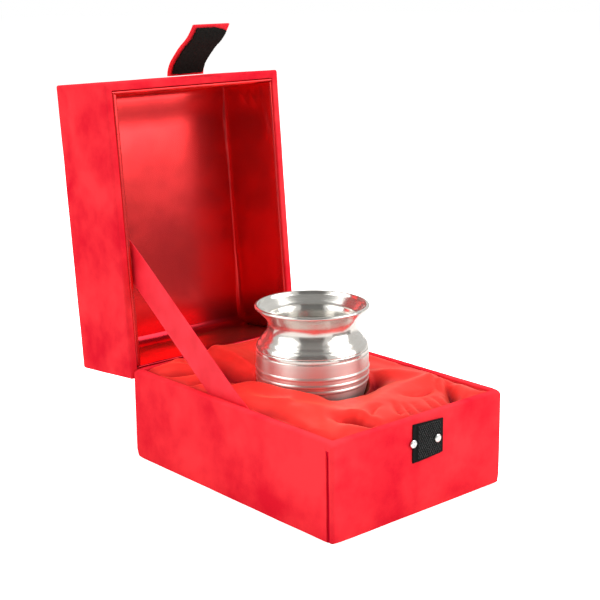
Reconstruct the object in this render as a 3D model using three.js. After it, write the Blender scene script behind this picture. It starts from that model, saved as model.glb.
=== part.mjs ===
// A small spun metal kalash standing in its open, velvet-covered presentation case.
// Millimetres, +Z up. The origin is the middle of the case's underside and the case's front faces -Y.
import * as THREE from "three";

// The case
const caseWidth = 112;
const caseDepth = 151;
const baseHeight = 47;
const lidHeight = 46.5;
const rimGap = 0.5; // between the two rims when the case is shut
const boardThickness = 2.2;
const velvetThickness = 0.7;
const bottomSheetThickness = 0.6;
const glueGap = 0.3; // between two glued layers
const mitreGap = 0.2; // how far each mitred end stands back from its corner
const turnIn = 11; // how far the velvet runs down inside a rim
const rimRounding = 1.2; // of the velvet over the outer edge of a rim
const innerRounding = 0.6;

// The cloth hinge, seen as a pivot line inside the back wall
const pivotInset = 2.23; // in from the back face
const pivotDrop = 3.44; // below the base's rim
const openAngle = 95; // where the stay ribbon stops the lid
const hingeClothThickness = 0.6;
const hingeClothMargin = 5; // from the case's sides
const hingeLeg = 15; // glued length on the base and on the lid

// The base's filling
const cushionClearance = 0.6; // to the velvet on three sides
const ribbonSlot = 2; // to the velvet on the left, where the stay ribbon runs down
const cushionFloor = 4; // satin and wadding under the kalash
const cushionEdgeDrop = 1.2; // of the cushion's edge below the rim
const wellClearance = 0.7; // round the kalash

// The lid's lining cards
const liningThickness = 1.3;
const liningCrown = 1.1;
const liningRecess = 1.5; // of the cards behind the rim
const leftLiningThickness = 2.4; // the left card is padded more
const leftLiningRecess = 0.6;

// The closure
const tapeWidth = 20;
const tapeThickness = 1;
const closureOffset = 3.4; // right of the middle
const hookTapeLeftLength = 18.6; // the tape is cut out of square
const hookTapeRightLength = 16.4;
const hookTapeCentreHeight = 34.9;
const leftSelvedge = 2.6; // plain edges of the hook tape
const rightSelvedge = 1.6;
const rivetRadius = 2;
const rivetHeight = 0.8;
const leftRivet = [-9.8, 0.2]; // across and up from the tape's middle
const rightRivet = [5.8, -0.5];
const strapThickness = 1;
const strapLeftBorder = 2.2; // velvet showing beside the loop tape
const strapRightBorder = 1.2;
const strapRootRise = 12.5; // of the strap's root above the lid's rim
// The strap's middle line, out from its root and up, with the lid shut
const strapCurve = [[0, 0], [3, -0.8], [7, -3.6], [11, -8.3], [14.5, -13], [17.8, -18.6], [21.3, -22.8], [24.7, -25.8]];
const loopTapeStart = 2.6; // along the strap
const loopTapeEndMargin = 1;

// The stay ribbon
const ribbonWidth = 17.2;
const ribbonThickness = 0.5;
const ribbonOnBase = 71.8; // from the back face to where its middle line crosses the base's rim
const ribbonOnLid = 57.7; // the same on the lid's rim
const ribbonInBase = 26; // length hidden in the slot
const ribbonInLid = 14; // length glued on the lining

// The kalash
const kalashHeight = 57;
const kalashFootRadius = 17.3;
const kalashBellyRadius = 27.95;
const kalashBellyLow = 25; // the belly is straight from here
const kalashBellyHigh = 34.4; // to here
const kalashNeckRadius = 22;
const kalashNeckHeight = 46.5;
const kalashRimRadius = 28.3;
const kalashWall = 1;
const kalashLip = 0.9; // radius of the rolled lip
const kalashBandHeights = [19.3, 22.4, 25.9]; // raised bands, above the foot
const kalashBandWidth = 1.9;
const kalashBandRelief = 0.4;
const kalashGrooveHeights = [33.6, 35.7];
const kalashGrooveWidth = 1;
const kalashGrooveDepth = 0.4;
const kalashRingHeight = 51.2; // of the ring inside the mouth
const kalashRimAboveFloor = 86; // the rim's height above the table

const wallThickness = 2 * velvetThickness + 2 * glueGap + boardThickness;
const boardInset = velvetThickness + glueGap;
const innerWidth = caseWidth - 2 * wallThickness;
const innerDepth = caseDepth - 2 * wallThickness;
const kalashFootLevel = kalashRimAboveFloor - kalashHeight;
const pivotY = caseDepth / 2 - pivotInset;
const pivotZ = baseHeight - pivotDrop;
const open = THREE.MathUtils.degToRad(openAngle);

const looks = {
  velvet: { color: 0xe8202e, roughness: 0.95, metalness: 0 },
  satin: { color: 0xd9222a, roughness: 0.42, metalness: 0 },
  board: { color: 0x9a958c, roughness: 0.9, metalness: 0 },
  foam: { color: 0xe9e4d6, roughness: 1, metalness: 0 },
  paper: { color: 0xb51c26, roughness: 0.85, metalness: 0 },
  tape: { color: 0x17191a, roughness: 0.9, metalness: 0 },
  rivet: { color: 0xdfe3e2, roughness: 0.3, metalness: 0.9 },
  silver: { color: 0xd8d6d2, roughness: 0.2, metalness: 1 },
};

function piece(name, geometry, look) {
  const mesh = new THREE.Mesh(geometry, new THREE.MeshStandardMaterial(looks[look]));
  mesh.name = name;
  return mesh;
}

const sides = [
  { side: "front", turn: 0, half: caseWidth / 2, out: caseDepth / 2 },
  { side: "right", turn: 90, half: caseDepth / 2, out: caseWidth / 2 },
  { side: "back", turn: 180, half: caseWidth / 2, out: caseDepth / 2 },
  { side: "left", turn: 270, half: caseDepth / 2, out: caseWidth / 2 },
];

// A strip along one side of the case. Its section holds points (depth in from the outside, height),
// and its ends are mitred to meet the strips of the two next sides.
function mitredStrip(section, wall) {
  const strip = new THREE.ExtrudeGeometry(section, { depth: 1, steps: 1, bevelEnabled: false, curveSegments: 3 });
  const p = strip.attributes.position;
  for (let i = 0; i < p.count; i++) {
    const depth = p.getX(i);
    const reach = wall.half - depth - mitreGap;
    p.setXYZ(i, p.getZ(i) > 0.5 ? reach : -reach, depth - wall.out, p.getY(i));
  }
  return strip;
}

// The section of the velvet over one wall: outside, over the rim and down inside it.
// The rim is at height 0 and the wall goes down from it by the given height.
function velvetSection(height) {
  const inside = wallThickness;
  const s = new THREE.Shape();
  s.moveTo(0, -height);
  s.lineTo(0, -rimRounding);
  s.absarc(rimRounding, -rimRounding, rimRounding, Math.PI, Math.PI / 2, true);
  s.lineTo(inside - innerRounding, 0);
  s.absarc(inside - innerRounding, -innerRounding, innerRounding, Math.PI / 2, 0, true);
  s.lineTo(inside, -turnIn);
  s.lineTo(inside - velvetThickness, -turnIn);
  s.lineTo(inside - velvetThickness, -velvetThickness);
  s.lineTo(velvetThickness + 0.3, -velvetThickness);
  s.lineTo(velvetThickness, -velvetThickness - 0.3);
  s.lineTo(velvetThickness, -height);
  s.closePath();
  return s;
}

function boardSection(low, high) {
  const s = new THREE.Shape();
  s.moveTo(boardInset, low);
  s.lineTo(boardInset + boardThickness, low);
  s.lineTo(boardInset + boardThickness, high);
  s.lineTo(boardInset, high);
  s.closePath();
  return s;
}

function flatSheet(inset, thickness, low) {
  const sheet = new THREE.BoxGeometry(caseWidth - 2 * inset, caseDepth - 2 * inset, thickness);
  return sheet.translate(0, 0, low + thickness / 2);
}

// Four velvet covers and four boards, with the rim at height 0 and the box below it.
// A box that is turned upside down about X has its front and back walls change places.
function boxWalls(prefix, velvetHeight, boardLow, upsideDown) {
  const swapped = { front: "back", back: "front", left: "left", right: "right" };
  const walls = new THREE.Group();
  for (const wall of sides) {
    const side = upsideDown ? swapped[wall.side] : wall.side;
    const cover = piece(`${prefix}_${side}_velvet`, mitredStrip(velvetSection(velvetHeight), wall), "velvet");
    const boardShape = boardSection(boardLow, -velvetThickness - glueGap);
    const board = piece(`${prefix}_${side}_board`, mitredStrip(boardShape, wall), "board");
    for (const mesh of [cover, board]) mesh.rotation.z = THREE.MathUtils.degToRad(wall.turn);
    walls.add(cover, board);
  }
  if (upsideDown) walls.rotation.x = Math.PI;
  return walls;
}

// A closed skin through a run of rings of equal count, from a point inside the first to one inside the last
function ringSkin(rings, first, last) {
  const n = rings[0].length;
  const points = [first, ...rings.flat(), last];
  const faces = [];
  const at = (ring, k) => 1 + ring * n + (k % n);
  for (let k = 0; k < n; k++) {
    faces.push(0, at(0, k), at(0, k + 1));
    for (let r = 0; r + 1 < rings.length; r++) {
      faces.push(at(r, k), at(r + 1, k), at(r + 1, k + 1), at(r, k), at(r + 1, k + 1), at(r, k + 1));
    }
    faces.push(at(rings.length - 1, k), points.length - 1, at(rings.length - 1, k + 1));
  }
  const skin = new THREE.BufferGeometry().setFromPoints(points);
  skin.setIndex(faces);
  skin.computeVertexNormals();
  return skin;
}

// The kalash's outside, from the foot's edge to the underside of the rolled lip
function kalashOutside() {
  const lipAngle = THREE.MathUtils.degToRad(-70);
  const lipEnd = new THREE.Vector2(
    kalashRimRadius - kalashLip + kalashLip * Math.cos(lipAngle),
    kalashHeight - kalashLip + kalashLip * Math.sin(lipAngle)
  );
  const v = (x, y) => new THREE.Vector2(x, y);
  const belly = kalashBellyRadius;
  const neck = kalashNeckRadius;
  const outside = new THREE.CurvePath();
  outside.add(
    new THREE.CubicBezierCurve(
      v(kalashFootRadius, 0),
      v(kalashFootRadius + 5.2, kalashBellyLow * 0.08),
      v(belly, kalashBellyLow * 0.52),
      v(belly, kalashBellyLow)
    )
  );
  outside.add(new THREE.LineCurve(v(belly, kalashBellyLow), v(belly, kalashBellyHigh)));
  outside.add(
    new THREE.CubicBezierCurve(
      v(belly, kalashBellyHigh),
      v(belly, kalashBellyHigh + 5.6),
      v(neck, kalashNeckHeight - 5),
      v(neck, kalashNeckHeight)
    )
  );
  outside.add(
    new THREE.CubicBezierCurve(
      v(neck, kalashNeckHeight),
      v(neck, kalashNeckHeight + 4),
      v(lipEnd.x - 2.6, lipEnd.y - 3),
      lipEnd
    )
  );
  return outside;
}

const outsidePoints = kalashOutside().getPoints(24);

// The radius of the plain outside at a height above the foot
function kalashRadiusAt(height) {
  const above = outsidePoints.findIndex((p) => p.y >= height);
  if (above < 0) return outsidePoints.at(-1).x;
  if (above === 0) return outsidePoints[0].x;
  const [a, b] = [outsidePoints[above - 1], outsidePoints[above]];
  return THREE.MathUtils.mapLinear(height, a.y, b.y, a.x, b.x);
}

function bump(height, centre, width) {
  return Math.max(0, 1 - ((height - centre) / (width / 2)) ** 2);
}

// How far the bands stand out from the plain outside, less the depth of the grooves
function kalashRelief(height) {
  let relief = 0;
  for (const h of kalashBandHeights) relief += kalashBandRelief * bump(height, h, kalashBandWidth);
  for (const h of kalashGrooveHeights) relief -= kalashGrooveDepth * bump(height, h, kalashGrooveWidth);
  return relief;
}

function kalashGeometry() {
  const plain = kalashOutside().getPoints(6);
  const heights = plain.map((p) => p.y);
  for (const h of kalashBandHeights) {
    heights.push(...[-0.5, -0.28, 0.28, 0.5].map((k) => h + k * kalashBandWidth));
  }
  for (const h of kalashGrooveHeights) heights.push(...[-0.5, 0, 0.5].map((k) => h + k * kalashGrooveWidth));
  const edges = [...kalashBandHeights.map((h) => [h, kalashBandWidth])];
  edges.push(...kalashGrooveHeights.map((h) => [h, kalashGrooveWidth]));
  const sorted = [...new Set(heights)].sort((a, b) => a - b);
  // a plain height that falls inside a band or a groove, but on none of its own points, is left out
  const kept = sorted.filter(
    (h) => !plain.some((p) => p.y === h) || !edges.some(([c, w]) => Math.abs(h - c) < w * 0.6)
  );
  const profile = [new THREE.Vector2(0, 0)];
  for (const h of kept) profile.push(new THREE.Vector2(kalashRadiusAt(h) + kalashRelief(h), h));
  const lipCentre = new THREE.Vector2(kalashRimRadius - kalashLip, kalashHeight - kalashLip);
  for (const a of [-35, 0, 40, 85, 130]) {
    const angle = THREE.MathUtils.degToRad(a);
    profile.push(new THREE.Vector2(Math.cos(angle), Math.sin(angle)).multiplyScalar(kalashLip).add(lipCentre));
  }
  // the inside follows the plain outside at the wall's thickness, from the lip down to the floor
  const inside = kalashOutside();
  const steps = 18;
  for (let i = steps - 1; i > 0; i--) {
    const p = inside.getPoint(i / steps);
    const t = inside.getTangent(i / steps);
    const q = new THREE.Vector2(p.x - t.y * kalashWall, p.y + t.x * kalashWall);
    if (q.y > kalashHeight - 2 * kalashLip || q.y < kalashWall) continue;
    if (Math.abs(q.y - kalashRingHeight) < 1) q.x -= 0.35;
    profile.push(q);
  }
  profile.push(new THREE.Vector2(kalashFootRadius - 1, kalashWall), new THREE.Vector2(0, kalashWall));
  return new THREE.LatheGeometry(profile, 48);
}

// Swells and hollows of the loose satin: where, how wide along and across, turned how far, how high
const satinFolds = [
  { x: -32, y: -6, along: 22, across: 8, turn: 100, rise: 3.7 }, // crest to the left of the well
  { x: -40, y: 13, along: 9, across: 6, turn: 150, rise: 1.8 }, // its tail towards the ribbon
  { x: -12, y: -50, along: 34, across: 12, turn: 4, rise: 2.6 }, // swell in front of the well
  { x: 2, y: -30, along: 13, across: 8, turn: 0, rise: -4.6 }, // dip where the belly shows lowest
  { x: 34, y: -45, along: 24, across: 8, turn: -26, rise: 1.9 }, // ridge towards the front right corner
  { x: 28, y: -19, along: 12, across: 6, turn: 50, rise: -4.6 }, // shaded hollow on the right
  { x: 44, y: -4, along: 24, across: 8, turn: 88, rise: 2.4 }, // swell along the right wall
  { x: -22, y: 34, along: 20, across: 8, turn: 112, rise: -5.6 }, // valley behind the left crest
  { x: -8, y: 44, along: 20, across: 7, turn: 102, rise: 2.6 }, // fold beside the valley
  { x: 14, y: 62, along: 34, across: 13, turn: 0, rise: 3.9 }, // swell behind the well
  { x: -40, y: 60, along: 13, across: 10, turn: -30, rise: 3.6 }, // swell in the back left corner
  { x: -28, y: -60, along: 9, across: 5, turn: -18, rise: -3.2 }, // dimple near the front left corner
];

// The satin's height above the base's rim, before it drops to its edges and into the well
function satinSwell(x, y) {
  let z = 0.8;
  for (const f of satinFolds) {
    const a = THREE.MathUtils.degToRad(f.turn);
    const u = (x - f.x) * Math.cos(a) + (y - f.y) * Math.sin(a);
    const w = (y - f.y) * Math.cos(a) - (x - f.x) * Math.sin(a);
    z += f.rise * Math.exp(-((u / f.along) ** 2) - (w / f.across) ** 2);
  }
  return z;
}

const cushionLeft = -caseWidth / 2 + wallThickness + ribbonSlot;
const cushionRight = caseWidth / 2 - wallThickness - cushionClearance;
const cushionHalfDepth = innerDepth / 2 - cushionClearance;
const cushionUnderside = kalashFootLevel - cushionFloor;

// Points round the cushion's edge, corners included, counter-clockwise from the front left corner
function cushionOutline() {
  const corners = [
    [cushionLeft, -cushionHalfDepth, 12],
    [cushionRight, -cushionHalfDepth, 16],
    [cushionRight, cushionHalfDepth, 12],
    [cushionLeft, cushionHalfDepth, 16],
  ];
  const outline = [];
  corners.forEach(([x, y, count], i) => {
    const [nextX, nextY] = corners[(i + 1) % corners.length];
    for (let k = 0; k < count; k++) {
      outline.push(new THREE.Vector2(x + ((nextX - x) * k) / count, y + ((nextY - y) * k) / count));
    }
  });
  return outline;
}

function cushionGeometry() {
  const outline = cushionOutline();
  const up = (p, z) => new THREE.Vector3(p.x, p.y, z);
  const rings = [];
  // the well follows the kalash's belly
  for (const height of [0, 1.5, 4, 7.5, 11, 14]) {
    const radius = kalashRadiusAt(height) + wellClearance;
    const z = kalashFootLevel - glueGap + height;
    rings.push(outline.map((p) => up(p.clone().setLength(radius), z)));
  }
  // the satin rolls over the well's mouth and spreads to the edge
  const mouth = kalashBellyRadius + wellClearance;
  const mouthLevel = rings.at(-1)[0].z;
  const surface = (p) => baseHeight + satinSwell(p.x, p.y);
  for (const [out, rise] of [[0.2, 0.6], [1.4, 0.9], [3.6, 1]]) {
    rings.push(
      outline.map((p) => {
        const q = p.clone().setLength(mouth + out);
        return up(q, THREE.MathUtils.lerp(mouthLevel, surface(q), rise));
      })
    );
  }
  for (const share of [0.15, 0.3, 0.45, 0.6, 0.74, 0.86, 0.94, 0.98, 1]) {
    rings.push(
      outline.map((p) => {
        const q = p.clone().setLength(mouth + 3.6).lerp(p, share);
        const edge = share ** 14;
        return up(q, surface(q) * (1 - edge) + (baseHeight - cushionEdgeDrop) * edge);
      })
    );
  }
  rings.push(outline.map((p) => up(p, cushionUnderside)));
  const middle = new THREE.Vector3(0, 0, kalashFootLevel - glueGap);
  return ringSkin(rings, middle, new THREE.Vector3(0, 0, cushionUnderside));
}

// A satin-wrapped card: flat behind, crowned in front, with its edges drawn in. It lies in XY and faces +Z.
function liningCard(width, height, thickness, crown) {
  const card = new THREE.BoxGeometry(width, height, thickness, 8, 8, 1).translate(0, 0, thickness / 2);
  const p = card.attributes.position;
  for (let i = 0; i < p.count; i++) {
    if (p.getZ(i) < thickness / 2) continue;
    const u = 1 - ((2 * p.getX(i)) / width) ** 4;
    const v = 1 - ((2 * p.getY(i)) / height) ** 4;
    p.setZ(i, p.getZ(i) + crown * u * v);
  }
  return card;
}

// A strip of cloth: a path in the YZ plane, thickened to each side of it and drawn out along X
function clothStrip(path, below, above, left, right) {
  const normals = path.map((p, i) => {
    const a = path[Math.max(i - 1, 0)];
    const b = path[Math.min(i + 1, path.length - 1)];
    const t = b.clone().sub(a).normalize();
    return new THREE.Vector2(-t.y, t.x);
  });
  const edge = (offset) => path.map((p, i) => p.clone().addScaledVector(normals[i], offset));
  const section = new THREE.Shape([...edge(below), ...edge(above).reverse()]);
  const strip = new THREE.ExtrudeGeometry(section, { depth: right - left, steps: 1, bevelEnabled: false });
  const p = strip.attributes.position;
  for (let i = 0; i < p.count; i++) p.setXYZ(i, left + p.getZ(i), p.getX(i), p.getY(i));
  return strip;
}

// Points at even steps of length along a smooth curve, between two lengths from its start
function curveStretch(curve, start, end, count) {
  const length = curve.getLength();
  const points = [];
  for (let i = 0; i <= count; i++) points.push(curve.getPointAt((start + ((end - start) * i) / count) / length));
  return points;
}

function base() {
  const group = new THREE.Group();
  const floorLow = bottomSheetThickness + glueGap;
  const floorHigh = floorLow + boardThickness;
  const walls = boxWalls("base", baseHeight, floorHigh + glueGap - baseHeight, false);
  walls.position.z = baseHeight;
  group.add(walls);
  group.add(piece("base_bottom_sheet", flatSheet(boardInset, bottomSheetThickness, 0), "paper"));
  group.add(piece("base_floor_board", flatSheet(boardInset, boardThickness, floorLow), "board"));

  const bedLow = floorHigh + glueGap;
  const bedHeight = cushionUnderside - glueGap - bedLow;
  const bed = new THREE.BoxGeometry(cushionRight - cushionLeft, 2 * cushionHalfDepth, bedHeight);
  bed.translate((cushionLeft + cushionRight) / 2, 0, bedLow + bedHeight / 2);
  group.add(piece("foam_bed", bed, "foam"));
  group.add(piece("satin_cushion", cushionGeometry(), "satin"));
  return group;
}

// The hook tape on the case's front: a hooked field between two plain edges, held by two rivets
function hookTape() {
  const group = new THREE.Group();
  const field = tapeThickness;
  const plain = tapeThickness / 2;
  const half = tapeWidth / 2;
  const step = 0.3; // width of the slope up to the field
  const section = new THREE.Shape([
    new THREE.Vector2(-half, 0),
    new THREE.Vector2(half, 0),
    new THREE.Vector2(half, plain),
    new THREE.Vector2(half - leftSelvedge, plain),
    new THREE.Vector2(half - leftSelvedge - step, field),
    new THREE.Vector2(rightSelvedge + step - half, field),
    new THREE.Vector2(rightSelvedge - half, plain),
    new THREE.Vector2(-half, plain),
  ]);
  // drawn out upwards and turned half round, so that its thickness points out of the front face
  const tape = new THREE.ExtrudeGeometry(section, { depth: 1, steps: 1, bevelEnabled: false });
  tape.translate(0, 0, -0.5).rotateZ(Math.PI);
  const p = tape.attributes.position;
  for (let i = 0; i < p.count; i++) {
    const across = (p.getX(i) + half) / tapeWidth;
    p.setZ(i, p.getZ(i) * THREE.MathUtils.lerp(hookTapeLeftLength, hookTapeRightLength, across));
  }
  group.add(piece("hook_tape", tape, "tape"));
  const dome = [
    [0, 0],
    [rivetRadius, 0],
    [rivetRadius, rivetHeight * 0.25],
    [rivetRadius * 0.8, rivetHeight * 0.7],
    [rivetRadius * 0.45, rivetHeight * 0.94],
    [0, rivetHeight],
  ].map(([x, y]) => new THREE.Vector2(x, y));
  // the left rivet stands on the plain edge, the right one on the hooked field
  for (const [name, [across, up], seat] of [["rivet_left", leftRivet, plain], ["rivet_right", rightRivet, field]]) {
    const rivet = piece(name, new THREE.LatheGeometry(dome, 20), "rivet");
    rivet.rotation.x = Math.PI;
    rivet.position.set(across, -seat - glueGap / 3, up);
    group.add(rivet);
  }
  group.position.set(closureOffset, -caseDepth / 2 - glueGap / 3, hookTapeCentreHeight);
  return group;
}

// Four cards stand round the lid's walls, and the fifth covers its top from wall to wall above them
function liningCards() {
  const cards = [];
  const roof = lidHeight - boardInset - boardThickness - glueGap;
  const seat = wallThickness + glueGap;
  for (const wall of sides) {
    const across = wall.side === "front" || wall.side === "back";
    const length = 2 * (wall.half - seat) - (across ? 0 : 2 * (liningThickness + glueGap));
    const thickness = wall.side === "left" ? leftLiningThickness : liningThickness;
    const recess = wall.side === "left" ? leftLiningRecess : liningRecess;
    const cardHeight = roof - liningThickness - glueGap - recess;
    const middle = recess + cardHeight / 2;
    const card = liningCard(length, cardHeight, thickness, liningCrown);
    // the card stands up along X, facing inwards from the front wall, and turns to its own wall
    card.rotateX(-Math.PI / 2).translate(0, seat - wall.out, middle);
    const mesh = piece(`lid_lining_${wall.side}`, card, "satin");
    mesh.rotation.z = THREE.MathUtils.degToRad(wall.turn);
    cards.push(mesh);
  }
  const roofCard = liningCard(caseWidth - 2 * seat, caseDepth - 2 * seat, liningThickness, liningCrown);
  const roofMesh = piece("lid_lining_top", roofCard, "satin");
  roofMesh.rotation.x = Math.PI;
  roofMesh.position.z = roof;
  cards.push(roofMesh);
  return cards;
}

// The lid in its shut position, with its rim at height 0 and its middle at the origin
function lid() {
  const group = new THREE.Group();
  const coverHeight = lidHeight - velvetThickness - glueGap;
  const boardLow = -(lidHeight - boardInset - boardThickness - glueGap);
  group.add(boxWalls("lid", coverHeight, boardLow, true));
  const topBoardLow = lidHeight - velvetThickness - glueGap - boardThickness;
  group.add(piece("lid_top_board", flatSheet(boardInset, boardThickness, topBoardLow), "board"));
  group.add(piece("lid_top_velvet", flatSheet(0, velvetThickness, lidHeight - velvetThickness), "velvet"));
  group.add(...liningCards());
  return group;
}

// The closure strap, seen in the shut lid's frame: it leaves the front wall, then leans forward and down
function strap() {
  const group = new THREE.Group();
  const root = new THREE.Vector2(-caseDepth / 2 - glueGap - strapThickness / 2, strapRootRise);
  const curve = new THREE.SplineCurve(
    strapCurve.map(([out, rise]) => new THREE.Vector2(root.x - out, root.y + rise))
  );
  const length = curve.getLength();
  const velvetLeft = closureOffset - tapeWidth / 2 - strapLeftBorder;
  const velvetRight = closureOffset + tapeWidth / 2 + strapRightBorder;
  const half = strapThickness / 2;
  const velvet = clothStrip(curveStretch(curve, 0, length, 12), -half, half, velvetLeft, velvetRight);
  group.add(piece("strap_velvet", velvet, "velvet"));
  const tapePath = curveStretch(curve, loopTapeStart, length - loopTapeEndMargin, 9);
  const near = half + glueGap;
  const tape = clothStrip(tapePath, near, near + tapeThickness, closureOffset - tapeWidth / 2, closureOffset + tapeWidth / 2);
  group.add(piece("loop_tape", tape, "tape"));
  return group;
}

// A point given in the shut lid's frame, moved to where the open lid has it
function onOpenLid(y, z) {
  const p = new THREE.Vector2(y - pivotY, z + baseHeight + rimGap - pivotZ);
  return p.rotateAround(new THREE.Vector2(), -open).add(new THREE.Vector2(pivotY, pivotZ));
}

// The cloth that joins the lid's back face to the base's, bent into the corner between them
function hingeCloth() {
  const off = glueGap + hingeClothThickness / 2;
  const corner = onOpenLid(caseDepth / 2 + off, 0);
  const onBase = caseDepth / 2 + off;
  const bend = 3;
  const path = [
    new THREE.Vector2(onBase, corner.y - bend - hingeLeg),
    new THREE.Vector2(onBase, corner.y - bend - hingeLeg / 2),
    new THREE.Vector2(onBase, corner.y - bend),
    new THREE.Vector2(onBase + 0.35, corner.y - bend / 2),
    onOpenLid(caseDepth / 2 + off + 0.35, bend / 2),
    onOpenLid(caseDepth / 2 + off, bend),
    onOpenLid(caseDepth / 2 + off, bend + hingeLeg / 2),
    onOpenLid(caseDepth / 2 + off, bend + hingeLeg),
  ];
  const half = hingeClothThickness / 2;
  const reach = caseWidth / 2 - hingeClothMargin;
  return piece("hinge_cloth", clothStrip(path, -half, half, -reach, reach), "velvet");
}

// The taut ribbon from the lid's left lining down into the slot beside the cushion
function stayRibbon() {
  const inSlot = -caseWidth / 2 + wallThickness + glueGap + ribbonThickness / 2;
  const lining = -caseWidth / 2 + wallThickness + glueGap + leftLiningThickness + liningCrown;
  const inLid = lining + glueGap + ribbonThickness / 2;
  const onLid = onOpenLid(caseDepth / 2 - ribbonOnLid, 0);
  const atBase = new THREE.Vector3(inSlot, caseDepth / 2 - ribbonOnBase, baseHeight);
  const atLid = new THREE.Vector3(inLid, onLid.x, onLid.y);
  const along = atLid.clone().sub(atBase).setX(0).normalize();
  const across = new THREE.Vector3(0, -along.z, along.y).multiplyScalar(ribbonWidth / 2);
  const thick = new THREE.Vector3(ribbonThickness / 2, 0, 0);
  const middles = [
    atBase.clone().addScaledVector(along, -ribbonInBase),
    ...[0, 0.25, 0.5, 0.75, 1].map((share) => atBase.clone().lerp(atLid, share)),
    atLid.clone().addScaledVector(along, ribbonInLid),
  ];
  const rings = middles.map((p) =>
    [[1, 1], [-1, 1], [-1, -1], [1, -1]].map(([t, w]) =>
      p.clone().addScaledVector(thick, t).addScaledVector(across, w)
    )
  );
  return piece("stay_ribbon", ringSkin(rings, middles[0], middles.at(-1)), "satin");
}

function kalash() {
  const pot = piece("kalash", kalashGeometry(), "silver");
  pot.rotation.x = Math.PI / 2;
  pot.position.z = kalashFootLevel;
  return pot;
}

const lidTurn = new THREE.Group();
lidTurn.position.set(0, pivotY, pivotZ);
lidTurn.rotation.x = -open;
const lidSpace = new THREE.Group();
lidSpace.position.set(0, -pivotY, baseHeight + rimGap - pivotZ);
lidSpace.add(lid(), strap());
lidTurn.add(lidSpace);

const group = new THREE.Group();
group.add(base(), hookTape(), lidTurn, hingeCloth(), stayRibbon(), kalash());
export default group;
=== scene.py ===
"""Looks for a small spun kalash standing in its open, velvet-covered presentation case."""
import math

import bmesh
import bpy
from mathutils import Matrix, Vector, geometry, noise


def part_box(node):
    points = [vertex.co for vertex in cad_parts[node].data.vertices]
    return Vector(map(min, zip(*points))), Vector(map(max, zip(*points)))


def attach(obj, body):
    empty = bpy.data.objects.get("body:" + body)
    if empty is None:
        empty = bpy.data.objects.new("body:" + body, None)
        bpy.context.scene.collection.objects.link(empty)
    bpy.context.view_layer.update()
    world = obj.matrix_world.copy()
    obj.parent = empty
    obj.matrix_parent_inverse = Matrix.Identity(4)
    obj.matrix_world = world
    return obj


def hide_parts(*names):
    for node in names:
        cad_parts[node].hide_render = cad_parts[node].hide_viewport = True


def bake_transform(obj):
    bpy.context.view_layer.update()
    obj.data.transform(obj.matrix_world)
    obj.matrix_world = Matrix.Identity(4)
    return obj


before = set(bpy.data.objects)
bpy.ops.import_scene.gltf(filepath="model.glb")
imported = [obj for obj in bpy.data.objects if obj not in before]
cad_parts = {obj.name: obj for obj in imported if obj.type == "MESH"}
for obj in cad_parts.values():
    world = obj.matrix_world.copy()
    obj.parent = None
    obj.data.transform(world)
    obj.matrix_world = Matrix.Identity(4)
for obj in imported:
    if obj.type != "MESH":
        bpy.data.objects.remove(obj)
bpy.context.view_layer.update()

# Sizes in millimetres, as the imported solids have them. Meshes are made in millimetres and shrunk to metres at the end.
CASE_WIDTH, CASE_DEPTH, BASE_HEIGHT, LID_HEIGHT = 112, 151, 47, 46.5
HALF_WIDTH, HALF_DEPTH = CASE_WIDTH / 2, CASE_DEPTH / 2
WALL, VELVET, TURN_IN = 4.2, 0.7, 11
PIVOT_Y, PIVOT_Z, RIM_GAP, OPEN_ANGLE = 73.27, 43.56, 0.5, 95
FOOT_LEVEL = 29.0
TO_METRES = Matrix.Scale(0.001, 4)
LID_PLACE = (
    Matrix.Translation((0, PIVOT_Y, PIVOT_Z))
    @ Matrix.Rotation(math.radians(-OPEN_ANGLE), 4, "X")
    @ Matrix.Translation((0, -PIVOT_Y, BASE_HEIGHT + RIM_GAP - PIVOT_Z))
)


def on_open_lid(y, z):
    """A point of the shut lid's frame, as (y, z) where the open lid has it."""
    p = LID_PLACE @ Vector((0, y, z))
    return p.y, p.z


# ---- camera, floor and lights

# the camera has the case's straight edges where the photograph has them
camera = bpy.data.objects.new("camera", bpy.data.cameras.new("camera"))
bpy.context.scene.collection.objects.link(camera)
camera.data.lens, camera.data.sensor_width = 80.58, 36
camera.matrix_world = Matrix((
    (0.752747, 0.168049, -0.636503, -0.42357),
    (-0.658241, 0.177890, -0.731487, -0.47789),
    (-0.009694, 0.969596, 0.244525, 0.24881),
    (0, 0, 0, 1),
))
bpy.context.scene.camera = camera
bpy.context.scene.view_settings.view_transform = "Standard"

# Metres. The lamps stand off a point in the middle of the part. The dark room is a far shell, with a low upright
# flag nearer in and black card on the table in front of it, both seen at the same azimuths from the part.
LAMP_DISTANCE, LAMP_AIM = 1.3, Vector((0, 0, 0.08))
FLOOR_RADIUS, ROOM_RADIUS, ROUND = 6, 3, 72
FLAG_REACH, FLAG_HEIGHT, FLAG_MIDDLE, CARD_LEVEL, CARD_INNER_SHARE = 1.0, 0.126, 0.066, 0.003, 0.25
FLAG_AZIMUTHS = (10, 70)


def colour(code):
    """An sRGB hex colour as linear RGBA."""
    parts = [int(code[i:i + 2], 16) / 255 for i in (1, 3, 5)]
    return tuple(c / 12.92 if c <= 0.04045 else ((c + 0.055) / 1.055) ** 2.4 for c in parts) + (1.0,)


def put(tree, kind, inputs=None, **settings):
    """Adds a node. An input is given by name or number, and takes a value or a socket to link."""
    made = tree.nodes.new(kind)
    for key, value in settings.items():
        setattr(made, key, value)
    for key, value in (inputs or {}).items():
        if isinstance(value, bpy.types.NodeSocket):
            tree.links.new(value, made.inputs[key])
        else:
            made.inputs[key].default_value = value
    return made


def new_material(name):
    made = bpy.data.materials.new(name)
    made.use_nodes = True
    made.node_tree.nodes.clear()
    return made, made.node_tree


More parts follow.
